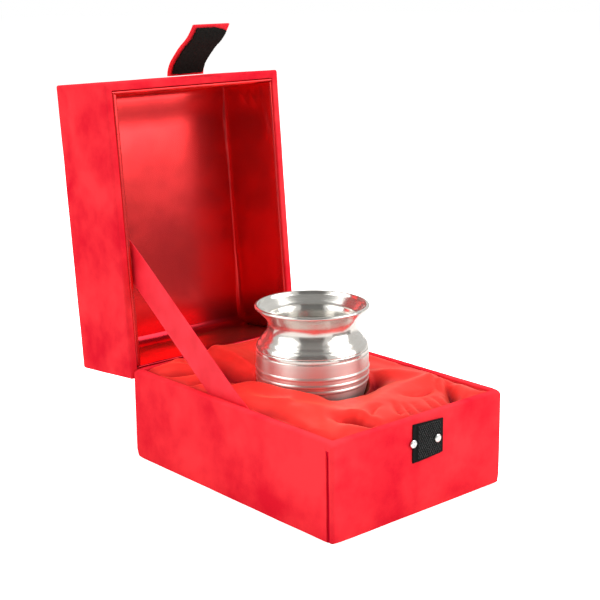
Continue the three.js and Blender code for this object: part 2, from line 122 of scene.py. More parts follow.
def light_studio():
    world = bpy.data.worlds.new("white_studio")
    bpy.context.scene.world = world
    world.use_nodes = True
    tree = world.node_tree
    tree.nodes.clear()
    path = put(tree, "ShaderNodeLightPath")
    # the sky is pure white where it is seen, and dimmer as a light and in reflections
    seen = put(tree, "ShaderNodeMath", {0: path.outputs["Is Camera Ray"], 1: path.outputs["Is Transmission Ray"]},
               operation="MAXIMUM")
    shine = put(tree, "ShaderNodeMapRange", {"Value": path.outputs["Is Glossy Ray"], "To Min": 0.38, "To Max": 0.7})
    level = put(tree, "ShaderNodeMath", {0: seen.outputs[0], 1: shine.outputs[0]}, operation="MAXIMUM")
    sky = put(tree, "ShaderNodeBackground", {"Color": (1, 1, 1, 1), "Strength": level.outputs[0]})
    put(tree, "ShaderNodeOutputWorld", {"Surface": sky.outputs[0]})

    # degrees, metres and watts
    for name, azimuth, elevation, width, height, power in (
        ("softbox_right", 36, 31, 1.0, 1.15, 14.0),
        ("softbox_left", -112, 36, 1.0, 1.0, 9.0),
        ("bounce_above", 170, 78, 0.9, 0.9, 13.0),
    ):
        lamp = bpy.data.objects.new(name, bpy.data.lights.new(name, "AREA"))
        bpy.context.scene.collection.objects.link(lamp)
        lamp.data.shape, lamp.data.energy = "RECTANGLE", power
        lamp.data.size, lamp.data.size_y = width, height
        a, e = math.radians(azimuth), math.radians(elevation)
        towards = Vector((math.sin(a) * math.cos(e), -math.cos(a) * math.cos(e), math.sin(e)))
        lamp.location = towards * LAMP_DISTANCE + LAMP_AIM
        lamp.rotation_mode = "QUATERNION"
        lamp.rotation_quaternion = towards.to_track_quat("Z", "Y")
        # the light from above comes off a grey ceiling, which the metal doesn't mirror as a lamp
        lamp.visible_glossy = name != "bounce_above"


def lay_floor():
    bm = bmesh.new()
    bmesh.ops.create_circle(bm, cap_ends=True, segments=64, radius=FLOOR_RADIUS)
    floor = bpy.data.objects.new("floor", bpy.data.meshes.new("floor"))
    bm.to_mesh(floor.data)
    bm.free()
    bpy.context.scene.collection.objects.link(floor)
    made, tree = new_material("white_table")
    path = put(tree, "ShaderNodeLightPath")
    white = put(tree, "ShaderNodeBsdfDiffuse", {"Color": colour("#F4F2F0")})
    lift = put(tree, "ShaderNodeEmission", {"Color": (1, 1, 1, 1), "Strength": path.outputs["Is Camera Ray"]})
    share = put(tree, "ShaderNodeMixShader", {0: 0.5, 1: white.outputs[0], 2: lift.outputs[0]})
    both = put(tree, "ShaderNodeAddShader", {0: white.outputs[0], 1: share.outputs[0]})
    seen = path.outputs["Is Camera Ray"]
    mixed = put(tree, "ShaderNodeMixShader", {0: seen, 1: white.outputs[0], 2: both.outputs[0]})
    put(tree, "ShaderNodeOutputMaterial", {"Surface": mixed.outputs[0]})
    floor.data.materials.append(made)


def angles_of(face):
    """The azimuth and elevation, in degrees, at which the part sees a face of the studio."""
    c = face.calc_center_median()
    return math.degrees(math.atan2(c.x, -c.y)), math.degrees(math.asin(c.z / c.length))


def darken_room():
    """The unlit part of the room between the two softboxes, which only reflections show."""
    bm = bmesh.new()
    bmesh.ops.create_uvsphere(bm, u_segments=ROUND, v_segments=ROUND // 2, radius=ROOM_RADIUS)
    gone = []
    for face in bm.faces:
        azimuth, elevation = angles_of(face)
        if not ((-76 < azimuth < -8 and -2 < elevation) or elevation > 62):
            gone.append(face)
    bmesh.ops.delete(bm, geom=gone, context="FACES")
    # a low dark flag at the right softbox's foot, with black card laid out in front of it
    flag = bmesh.ops.create_cone(bm, segments=ROUND, radius1=FLAG_REACH, radius2=FLAG_REACH, depth=FLAG_HEIGHT,
                                 matrix=Matrix.Translation((0, 0, FLAG_MIDDLE)))["verts"]
    ring = set(bmesh.ops.create_circle(bm, segments=ROUND, radius=FLAG_REACH,
                                       matrix=Matrix.Translation((0, 0, CARD_LEVEL)))["verts"])
    edges = [edge for edge in bm.edges if edge.verts[0] in ring and edge.verts[1] in ring]
    drawn = bmesh.ops.extrude_edge_only(bm, edges=edges)["geom"]
    inner = [v for v in drawn if isinstance(v, bmesh.types.BMVert)]
    bmesh.ops.scale(bm, vec=(CARD_INNER_SHARE, CARD_INNER_SHARE, 1), verts=inner)
    near = set(flag + inner)
    first, last = FLAG_AZIMUTHS
    gone = [face for face in bm.faces
            if any(v in near for v in face.verts) and not first < angles_of(face)[0] < last]
    bmesh.ops.delete(bm, geom=gone, context="FACES")
    room = bpy.data.objects.new("dark_room", bpy.data.meshes.new("dark_room"))
    bm.to_mesh(room.data)
    bm.free()
    bpy.context.scene.collection.objects.link(room)
    made, tree = new_material("dark_room")
    place = put(tree, "ShaderNodeTexCoord").outputs["Object"]
    height = put(tree, "ShaderNodeSeparateXYZ", {0: place}).outputs["Z"]
    wall = put(tree, "ShaderNodeTexNoise", {"Vector": place, "Scale": 0.8, "Detail": 2.0}).outputs["Fac"]
    # grey patches on the walls, paler towards the ceiling
    rise = put(tree, "ShaderNodeMapRange", {
        "Value": height, "From Min": 1.8, "From Max": 2.7, "To Min": 0.02, "To Max": 0.16,
    }).outputs[0]
    level = put(tree, "ShaderNodeMath", {0: wall, 1: 0.12, 2: rise}, operation="MULTIPLY_ADD").outputs[0]
    glow = put(tree, "ShaderNodeEmission", {"Color": (1, 1, 1, 1), "Strength": level})
    put(tree, "ShaderNodeOutputMaterial", {"Surface": glow.outputs[0]})
    room.data.materials.append(made)
    room.visible_camera = room.visible_diffuse = room.visible_shadow = room.visible_transmission = False


light_studio()
lay_floor()
darken_room()


# ---- materials


def short_pile_velvet():
    """Flocked cotton velvet: matt, with pressed patches where the nap lies the other way and a fine fibre grain."""
    made, tree = new_material("short_pile_velvet")
    place = put(tree, "ShaderNodeTexCoord").outputs["Object"]
    # the pressed patches are about 35 mm across, with smudges of 7 mm in them
    patches = put(tree, "ShaderNodeTexNoise", {
        "Vector": place, "Scale": 28.0, "Detail": 2.5, "Roughness": 0.55, "Distortion": 0.4,
    }).outputs["Fac"]
    smudges = put(tree, "ShaderNodeTexNoise", {
        "Vector": place, "Scale": 140.0, "Detail": 3.0, "Roughness": 0.6,
    }).outputs["Fac"]
    nap = put(tree, "ShaderNodeMath", {0: smudges, 1: 0.3, 2: patches}, operation="MULTIPLY_ADD").outputs[0]
    share = put(tree, "ShaderNodeMapRange", {"Value": nap, "From Min": 0.46, "From Max": 0.8}).outputs[0]
    pressed, lit = colour("#D81A2D"), colour("#F63840")
    tone = put(tree, "ShaderNodeMix", {0: share, 6: pressed, 7: lit}, data_type="RGBA").outputs[2]
    # pile fibres of 0.05 mm, drawn 0.3 mm coarse so that they show
    pile = put(tree, "ShaderNodeTexNoise", {"Vector": place, "Scale": 3200.0, "Detail": 2.0}).outputs["Fac"]
    speck = put(tree, "ShaderNodeMapRange", {"Value": pile, "To Min": 0.9, "To Max": 1.1}).outputs[0]
    shade = put(tree, "ShaderNodeVectorMath", {0: tone, 3: speck}, operation="SCALE").outputs[0]
    bump = put(tree, "ShaderNodeBump", {"Height": pile, "Strength": 0.25, "Distance": 0.0002}).outputs[0]
    look = put(tree, "ShaderNodeBsdfPrincipled", {
        "Base Color": shade, "Roughness": 0.96, "Specular IOR Level": 0.0, "Sheen Weight": 0.14, "Sheen Roughness": 0.4,
        "Sheen Tint": colour("#FF5048"), "Normal": bump,
    })
    put(tree, "ShaderNodeOutputMaterial", {"Surface": look.outputs[0]})
    return made


def red_satin(name, low, high, gloss, metallic, tint, sheen, painted_shade_top):
    """Polyester satin: long floating threads give a broad, tinted gloss over a deeper red."""
    made, tree = new_material(name)
    place = put(tree, "ShaderNodeTexCoord").outputs["Object"]
    cloud = put(tree, "ShaderNodeTexNoise", {"Vector": place, "Scale": 60.0, "Detail": 2.0}).outputs["Fac"]
    # painted shade: below the given height the satin turns towards its low colour, for the shade in the cushion's
    # hollows and where the lining closes in on the hinge
    height = put(tree, "ShaderNodeSeparateXYZ", {0: place}).outputs["Z"]
    rise = put(tree, "ShaderNodeMapRange", {"Value": height, "From Min": 0.0425, "From Max": painted_shade_top}).outputs[0]
    share = put(tree, "ShaderNodeMath", {0: cloud, 1: 0.5, 2: rise}, operation="MULTIPLY_ADD").outputs[0]
    share = put(tree, "ShaderNodeMapRange", {"Value": share, "From Min": 0.2, "From Max": 1.35}).outputs[0]
    tone = put(tree, "ShaderNodeMix", {0: share, 6: colour(low), 7: colour(high)}, data_type="RGBA").outputs[2]
    # threads of 0.1 mm, drawn 0.35 mm coarse so that they show
    threads = put(tree, "ShaderNodeMapping", {"Vector": place, "Scale": (2800, 700, 2800)}).outputs[0]
    weave = put(tree, "ShaderNodeTexNoise", {"Vector": threads, "Scale": 1.0, "Detail": 1.0}).outputs["Fac"]
    bump = put(tree, "ShaderNodeBump", {"Height": weave, "Strength": 0.06, "Distance": 0.0001}).outputs[0]
    look = put(tree, "ShaderNodeBsdfPrincipled", {
        "Base Color": tone, "Roughness": gloss, "Metallic": metallic, "Specular IOR Level": 0.25,
        "Specular Tint": colour(tint), "Sheen Weight": sheen, "Sheen Roughness": 0.4,
        "Sheen Tint": colour("#FF8460"), "Normal": bump,
    })
    put(tree, "ShaderNodeOutputMaterial", {"Surface": look.outputs[0]})
    return made


def woven_ribbon():
    """Taffeta ribbon: plain woven, nearly matt."""
    made, tree = new_material("woven_ribbon")
    place = put(tree, "ShaderNodeTexCoord").outputs["Object"]
    cloud = put(tree, "ShaderNodeTexNoise", {"Vector": place, "Scale": 90.0, "Detail": 2.0}).outputs["Fac"]
    share = put(tree, "ShaderNodeMapRange", {"Value": cloud, "From Min": 0.3, "From Max": 0.7}).outputs[0]
    deep, pale = colour("#E2162A"), colour("#F02638")
    tone = put(tree, "ShaderNodeMix", {0: share, 6: deep, 7: pale}, data_type="RGBA").outputs[2]
    ribs = put(tree, "ShaderNodeTexWave", {"Vector": place, "Scale": 900.0, "Distortion": 0.4},
               bands_direction="DIAGONAL").outputs["Fac"]
    bump = put(tree, "ShaderNodeBump", {"Height": ribs, "Strength": 0.12, "Distance": 0.0001}).outputs[0]
    look = put(tree, "ShaderNodeBsdfPrincipled", {
        "Base Color": tone, "Roughness": 0.6, "Specular IOR Level": 0.3, "Sheen Weight": 0.12, "Sheen Roughness": 0.3,
        "Sheen Tint": colour("#FF6A6A"), "Normal": bump,
    })
    put(tree, "ShaderNodeOutputMaterial", {"Surface": look.outputs[0]})
    return made


def spun_silver_plate():
    """Brass spun on a lathe and silver plated: turning lines round the axis smear every reflection up and down."""
    made, tree = new_material("spun_silver_plate")
    place = put(tree, "ShaderNodeTexCoord").outputs["Object"]
    axes = put(tree, "ShaderNodeSeparateXYZ", {0: place})
    flat = put(tree, "ShaderNodeCombineXYZ", {"X": axes.outputs["X"], "Y": axes.outputs["Y"]}).outputs[0]
    reach = put(tree, "ShaderNodeVectorMath", {0: flat}, operation="LENGTH").outputs["Value"]
    turned = put(tree, "ShaderNodeCombineXYZ", {"X": reach, "Y": axes.outputs["Z"]}).outputs[0]
    # turning lines 0.4 mm apart
    lines = put(tree, "ShaderNodeTexNoise", {"Vector": turned, "Scale": 2500.0, "Detail": 2.0},
                noise_dimensions="2D").outputs["Fac"]
    bands = put(tree, "ShaderNodeTexNoise", {"Vector": turned, "Scale": 260.0, "Detail": 2.0},
                noise_dimensions="2D").outputs["Fac"]
    # the shoulder and the neck are buffed, and below the grooves, 63 mm above the table, the belly is left brushed
    buffed = put(tree, "ShaderNodeMapRange", {
        "Value": axes.outputs["Z"], "From Min": 0.0622, "From Max": 0.0632,
    }).outputs[0]
    gloss = put(tree, "ShaderNodeMapRange", {"Value": buffed, "To Min": 0.36, "To Max": 0.2}).outputs[0]
    dull, bright = colour("#D0CDC6"), colour("#E6E3DC")
    tone = put(tree, "ShaderNodeMix", {0: bands, 6: dull, 7: bright}, data_type="RGBA").outputs[2]
    bump = put(tree, "ShaderNodeBump", {"Height": lines, "Strength": 0.1, "Distance": 0.00005}).outputs[0]
    round_axis = put(tree, "ShaderNodeTangent", direction_type="RADIAL", axis="Z").outputs[0]
    look = put(tree, "ShaderNodeBsdfPrincipled", {
        "Base Color": tone, "Metallic": 0.88, "Roughness": gloss, "Anisotropic": 0.82, "Anisotropic Rotation": 0.25,
        "Tangent": round_axis, "Normal": bump,
    })
    put(tree, "ShaderNodeOutputMaterial", {"Surface": look.outputs[0]})
    return made


def plain(name, code, grain, roughness, metallic=0.0, depth=0.0001, spread=0.08, specular=0.5):
    """A plain finish with a fine grain of the given size in metres."""
    made, tree = new_material(name)
    place = put(tree, "ShaderNodeTexCoord").outputs["Object"]
    specks = put(tree, "ShaderNodeTexNoise", {"Vector": place, "Scale": 1 / grain, "Detail": 3.0}).outputs["Fac"]
    level = put(tree, "ShaderNodeMapRange", {"Value": specks, "To Min": 1 - spread, "To Max": 1 + spread}).outputs[0]
    tone = put(tree, "ShaderNodeVectorMath", {0: colour(code)[:3], 3: level}, operation="SCALE").outputs[0]
    bump = put(tree, "ShaderNodeBump", {"Height": specks, "Strength": 0.2, "Distance": depth}).outputs[0]
    look = put(tree, "ShaderNodeBsdfPrincipled", {
        "Base Color": tone, "Metallic": metallic, "Roughness": roughness, "Specular IOR Level": specular,
        "Normal": bump,
    })
    put(tree, "ShaderNodeOutputMaterial", {"Surface": look.outputs[0]})
    return made


velvet = short_pile_velvet()
# painted shade: a darker velvet for the faces down in the base's slit, where shade falls
painted_slit_shade = plain("painted_slit_shade_velvet", "#BE0A28", 0.0006, 1.0, specular=0.0)
# each satin's first colour is painted shade for its hollows and the lid's hinge corner, and its last number is the
# height where that shade ends
cushion_satin = red_satin("cushion_satin", "#7A0016", "#FF3A34", 0.36, 0.15, "#FF6A40", 0.55, 0.0485)
lining_satin = red_satin("lining_satin", "#A2142A", "#EB3F3F", 0.25, 0.84, "#FF4A48", 0.1, 0.064)
ribbon_weave = woven_ribbon()
silver = spun_silver_plate()
greyboard = plain("pressed_greyboard", "#9A958C", 0.0006, 0.9)
red_paper = plain("dyed_lining_paper", "#B51C26", 0.0008, 0.8)
foam = plain("open_cell_foam", "#E9E4D6", 0.0009, 1.0, depth=0.0004)
nylon = plain("black_nylon_tape", "#0C0E0E", 0.0005, 0.8, spread=0.3, specular=0.15)
hooks_nylon = plain("moulded_nylon_hooks", "#1E2220", 0.0008, 0.35, spread=0.5, specular=0.5)
fuzz = plain("brushed_nylon_loops", "#181816", 0.0009, 0.9, spread=0.8, specular=0.1)
aluminium = plain("pressed_aluminium", "#E6EBE8", 0.0005, 0.28, metallic=1.0, depth=0.00002, spread=0.03)


# ---- pieces


def finished(bm, name, material, body, slot, *replaced, place=Matrix.Identity(4), smooth=180):
    """Turns a bmesh in millimetres into a piece in metres that rides on its body."""
    bmesh.ops.remove_doubles(bm, verts=bm.verts, dist=0.001)
    bmesh.ops.recalc_face_normals(bm, faces=bm.faces)
    for face in bm.faces:
        face.smooth = True
    limit = math.radians(smooth)
    for edge in bm.edges:
        edge.smooth = not (edge.is_manifold and edge.calc_face_angle() > limit)
    bmesh.ops.transform(bm, matrix=TO_METRES @ place, verts=bm.verts)
    piece = bpy.data.objects.new(name, bpy.data.meshes.new(name))
    bm.to_mesh(piece.data)
    bm.free()
    bpy.context.scene.collection.objects.link(piece)
    piece.data.materials.append(material)
    if body:
        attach(piece, body)
    if replaced:
        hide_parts(*replaced)
    return piece


def draw_out(bm, first, rows, closed=False):
    """Extrudes a line of new vertices through rows of places, and returns the vertices of every row."""
    line = [bm.verts.new(p) for p in first]
    pairs = list(zip(line, line[1:] + line[:1])) if closed else list(zip(line, line[1:]))
    edges = [bm.edges.new(pair) for pair in pairs]
    made = [line]
    for row in rows:
        out = bmesh.ops.extrude_edge_only(bm, edges=edges)["geom"]
        fresh = {v for v in out if isinstance(v, bmesh.types.BMVert)}
        step = {}
        for v in fresh:
            for e in v.link_edges:
                if e.other_vert(v) not in fresh:
                    step[e.other_vert(v)] = v
        line = [step[v] for v in line]
        edges = [e for e in out if isinstance(e, bmesh.types.BMEdge) and e.verts[0] in fresh and e.verts[1] in fresh]
        for v, p in zip(line, row):
            v.co = p
        made.append(line)
    return made


def arc(centre, radius, start, end, steps):
    """Points on an arc in a plane, angles in degrees."""
    angles = [math.radians(start + (end - start) * i / steps) for i in range(steps + 1)]
    return [(centre[0] + radius * math.cos(a), centre[1] + radius * math.sin(a)) for a in angles]


def spaced(a, b, step):
    """Points from a up to, but not at, b, about one step apart."""
    a, b = Vector(a), Vector(b)
    count = max(1, round((b - a).length / step))
    return [a.lerp(b, i / count) for i in range(count)]


def smooth_step(x):
    x = min(max(x, 0.0), 1.0)
    return x * x * (3 - 2 * x)


def wobble(p, size, seed=0.0):
    """Smooth noise from -1 to 1 over features of that size in millimetres."""
    return noise.noise(Vector(p) / size + Vector((seed, -seed, 2 * seed)))


def through(points, steps):
    """A smooth line through points, at even steps of length."""
    fine = []
    for i in range(len(points) - 1):
        p = [Vector(points[min(max(i + k, 0), len(points) - 1)]) for k in (-1, 0, 1, 2)]
        for k in range(24):
            t = k / 24
            fine.append(0.5 * (2 * p[1] + (p[2] - p[0]) * t + (2 * p[0] - 5 * p[1] + 4 * p[2] - p[3]) * t * t
                               + (3 * p[1] - p[0] - 3 * p[2] + p[3]) * t ** 3))
    fine.append(Vector(points[-1]))
    reach = [0.0]
    for a, b in zip(fine, fine[1:]):
        reach.append(reach[-1] + (b - a).length)
    line, k = [], 0
    for i in range(steps + 1):
        goal = reach[-1] * i / steps
        while k < len(reach) - 2 and reach[k + 1] < goal:
            k += 1
        line.append(fine[k].lerp(fine[k + 1], (goal - reach[k]) / max(reach[k + 1] - reach[k], 1e-9)))
    return line, reach[-1]


def round_the_box(corner_radii):
    """The line round a box, from its front left corner on, as pairs of outer and inner points of the wall."""
    inner_radius, step = 0.5, 3.5
    corners = [(-HALF_WIDTH, -HALF_DEPTH), (HALF_WIDTH, -HALF_DEPTH),
               (HALF_WIDTH, HALF_DEPTH), (-HALF_WIDTH, HALF_DEPTH)]
    turns = []
    for (x, y), radius, start in zip(corners, corner_radii, (-180, -90, 0, 90)):
        sx, sy = math.copysign(1, x), math.copysign(1, y)
        outer = Vector((x - sx * radius, y - sy * radius))
        inner = Vector((x - sx * (WALL + inner_radius), y - sy * (WALL + inner_radius)))
        turn = []
        for k in range(7):
            a = math.radians(start + 90 * k / 6)
            out = Vector((math.cos(a), math.sin(a)))
            turn.append((outer + radius * out, inner + inner_radius * out))
        turns.append(turn)
    line = []
    for turn, following in zip(turns, turns[1:] + turns[:1]):
        line += turn
        (a_out, a_in), (b_out, b_in) = turn[-1], following[0]
        count = max(2, round((b_out - a_out).length / step))
        for k in range(1, count):
            line.append((a_out.lerp(b_out, k / count), a_in.lerp(b_in, k / count)))
    return line


def across_wall(pair, depth, height):
    """A point of the wall's section, at a depth from the outside."""
    outer, inner = pair
    p = outer.lerp(inner, depth / WALL)
    return Vector((p.x, p.y, height))


def soft_cloth(bm):
    """Small dips and swells of cloth glued over board."""
    bm.normal_update()
    moves = [(v, v.normal * 0.12 * (wobble(v.co, 24) + 0.5 * wobble(v.co, 9, 3.1))) for v in bm.verts]
    for v, move in moves:
        v.co += move


def thicken(piece):
    cloth = piece.modifiers.new("cloth", "SOLIDIFY")
    cloth.thickness, cloth.offset, cloth.use_even_offset = VELVET / 1000, -1.0, False


# Heights of the rows on a velvet wall, and the slit beside the base's front left corner: how far along the wall each
# line of its mouth lies, and how far in. The cloth's two ends turn in there, and the slit closes below the rim.
WALL_ROWS = (4, 8, 12, 16, 20, 24, 28, 32, 36, 40, 43)
SLIT = ((2.1, 0.0), (2.02, 0.6), (1.9, 0.96), (1.05, 0.96), (0.2, 0.96), (0.08, 0.6), (0.0, 0.0))


def base_velvet():
    rim = BASE_HEIGHT
    section = [(0.75, 0.0)] + [(0.7 + x, 0.7 + z) for x, z in arc((0, 0), 0.7, 270, 180, 4)]
    section += [(0, z) for z in WALL_ROWS]
    section += [(1.3 + x, rim - 1.3 + z) for x, z in arc((0, 0), 1.3, 180, 90, 5)]
    section += [(d, rim + 0.05) for d in (2.1, 2.9)]
    section += [(WALL - 0.7 + x, rim - 0.7 + z) for x, z in arc((0, 0), 0.7, 90, 0, 4)]
    section += [(WALL, rim - d) for d in (3, 6, 9, TURN_IN)]
    line = round_the_box([2.0, 2.6, 2.2, 1.6])
    corner, within = line[0]
    line = line[1:] + [(corner + Vector((0, along)), within) for along, _ in SLIT]
    bm = bmesh.new()
    rows = [[across_wall(pair, d, z) for pair in line] for d, z in section]
    made = draw_out(bm, rows[0], rows[1:], closed=True)
    for row, (d, z) in zip(made, section):
        if d < 1.3:
            open_share = smooth_step((rim - 3.6 - z) / 1.5) * smooth_step((z + 0.6) / 1.8)
            for v, (_, depth) in zip(row[-len(SLIT):], SLIT):
                v.co.x += depth * open_share
                v.co.y += 0.5 * (z / rim - 0.5) + 0.15 * wobble((0, 0, z), 6, 7.0)
    slit = {v for row in made for v in row[1 - len(SLIT):-1]}
    # painted shade: the slit's faces below the rim take the darker velvet, for the shadow down in the slit
    for face in bm.faces:
        face.material_index = int(all(v in slit for v in face.verts) and face.calc_center_median().z < rim - 4.5)
    soft_cloth(bm)
    # over the box's corners the cloth rounds off, above and below
    for v in bm.verts:
        beside = (Vector((abs(v.co.x), abs(v.co.y))) - Vector((HALF_WIDTH, HALF_DEPTH))).length
        near = max(0.0, 1 - beside / 6) ** 2
        v.co.z -= 1.5 * near * smooth_step((v.co.z - rim + 4) / 4)
        low = near * max(0.0, 1 - v.co.z / 3) ** 2
        v.co.x -= math.copysign(1.0 * low, v.co.x)
        v.co.y -= math.copysign(1.0 * low, v.co.y)
    piece = finished(bm, "base_velvet", velvet, "case_base", "red_velvet",
                     "base_front_velvet", "base_right_velvet", "base_back_velvet", "base_left_velvet", smooth=50)
    piece.data.materials.append(painted_slit_shade)
    thicken(piece)


def lid_velvet():
    top = LID_HEIGHT
    section = [(WALL, d) for d in (TURN_IN, 9, 6, 3)]
    section += [(WALL - 0.7 + x, 0.7 + z) for x, z in arc((0, 0), 0.7, 0, -90, 4)]
    section += [(d, -0.05) for d in (2.9, 2.1)]
    section += [(1.3 + x, 1.3 + z) for x, z in arc((0, 0), 1.3, 270, 180, 5)]
    section += [(0, z) for z in WALL_ROWS]
    section += [(1.1 + x, top - 1.1 + z) for x, z in arc((0, 0), 1.1, 180, 90, 4)]
    section += [(WALL, top)]
    line = round_the_box([1.0, 1.0, 1.2, 1.2])
    bm = bmesh.new()
    rows = [[across_wall(pair, d, z) for pair in line] for d, z in section]
    # the top closes on a line along its middle
    for share in (0.2, 0.4, 0.6, 0.8, 1.0):
        rows.append([Vector((p.x * (1 - share), p.y * (1 - share * 0.72), top)) for p in rows[len(section) - 1]])
    draw_out(bm, rows[0], rows[1:], closed=True)
    bmesh.ops.remove_doubles(bm, verts=bm.verts, dist=0.001)
    soft_cloth(bm)
    piece = finished(bm, "lid_velvet", velvet, "lid", "red_velvet",
                     "lid_front_velvet", "lid_right_velvet", "lid_back_velvet", "lid_left_velvet", "lid_top_velvet",
                     place=LID_PLACE)
    thicken(piece)


# The kalash's outside as (radius, height above the foot), with three raised bands and two grooves
BELLY, NECK, RIM, WALL_OF_POT, LIP, POT_HEIGHT = 27.95, 22.0, 28.3, 1.0, 0.9, 57.0
BANDS, GROOVES = (19.3, 22.4, 25.9), (33.6, 35.7)


def spun(profile, steps):
    """A solid of revolution through points of radius and height."""
    bm = bmesh.new()
    verts = [bm.verts.new((r, 0, h)) for r, h in profile]
    edges = [bm.edges.new(pair) for pair in zip(verts, verts[1:])]
    bmesh.ops.spin(bm, geom=verts + edges, cent=(0, 0, 0), axis=(0, 0, 1), angle=2 * math.pi, steps=steps,
                   use_merge=True)
    return bm


def kalash_line():
    """The plain outside, without bands and grooves, from the foot to the lip."""
    lip_end = (RIM - LIP + LIP * math.cos(math.radians(-70)), POT_HEIGHT - LIP + LIP * math.sin(math.radians(-70)))
    stretches = [
        ((17.3, 0), (22.5, 2), (BELLY, 13), (BELLY, 25), 26),
        ((BELLY, 25), (BELLY, 28), (BELLY, 31.4), (BELLY, 34.4), 20),
        ((BELLY, 34.4), (BELLY, 40), (NECK, 41.5), (NECK, 46.5), 30),
        ((NECK, 46.5), (NECK, 50.5), (lip_end[0] - 2.6, lip_end[1] - 3), lip_end, 20),
    ]
    line = []
    for a, b, c, d, count in stretches:
        line += geometry.interpolate_bezier(Vector(a), Vector(b), Vector(c), Vector(d), count)[:-1]
    return line + [Vector(lip_end)]


def kalash_piece():
    outside = [Vector((p.x, p.y)) for p in kalash_line()]

    def plain_radius(h):
        for a, b in zip(outside, outside[1:]):
            if a.y <= h <= b.y:
                return a.x + (b.x - a.x) * (h - a.y) / max(b.y - a.y, 1e-6)
        return outside[-1].x

    def relief(h):
        r = sum(0.42 * max(0.0, 1 - ((h - c) / 0.95) ** 2) ** 0.8 for c in BANDS)
        r -= sum(0.4 * max(0.0, 1 - ((h - c) / 0.5) ** 2) for c in GROOVES)
        # a shallow cove parts the shoulder into two swells
        return r - 0.3 * math.exp(-(((h - 39.4) / 0.9) ** 2))

    heights = {round(p.y, 3) for p in outside if not any(abs(p.y - c) < 1.3 for c in BANDS + GROOVES)}
    for c in BANDS:
        heights |= {round(c + 0.95 * k / 5, 3) for k in range(-6, 7)}
    for c in GROOVES:
        heights |= {round(c + 0.5 * k / 3, 3) for k in range(-4, 5)}
    profile = [Vector((r, 0)) for r in (0, 6, 12, 16.6)]
    profile += [Vector((plain_radius(h) + relief(h), h)) for h in sorted(heights)]
    profile += [Vector(p) for p in arc((RIM - LIP, POT_HEIGHT - LIP), LIP, -60, 150, 14)]
    inner = []
    for a, b in zip(outside, outside[1:]):
        t = (b - a).normalized()
        inner.append(Vector((a.x - t.y * WALL_OF_POT, a.y + t.x * WALL_OF_POT)))
    for p in reversed(inner):
        if WALL_OF_POT < p.y < POT_HEIGHT - 1.5 * LIP:
            # a turned step runs round the inside of the mouth
            p.x -= 0.35 * math.exp(-(((p.y - 51.2) / 0.35) ** 2)) + 0.9 * math.exp(-(((p.y - 43.2) / 2.2) ** 2))
            profile.append(p)
    profile += [Vector((r, WALL_OF_POT)) for r in (16, 11, 6, 0)]
    bm = spun([(p.x, p.y + FOOT_LEVEL) for p in profile], 160)
    finished(bm, "kalash_silver", silver, "kalash", "silver_plate", "kalash", smooth=40)


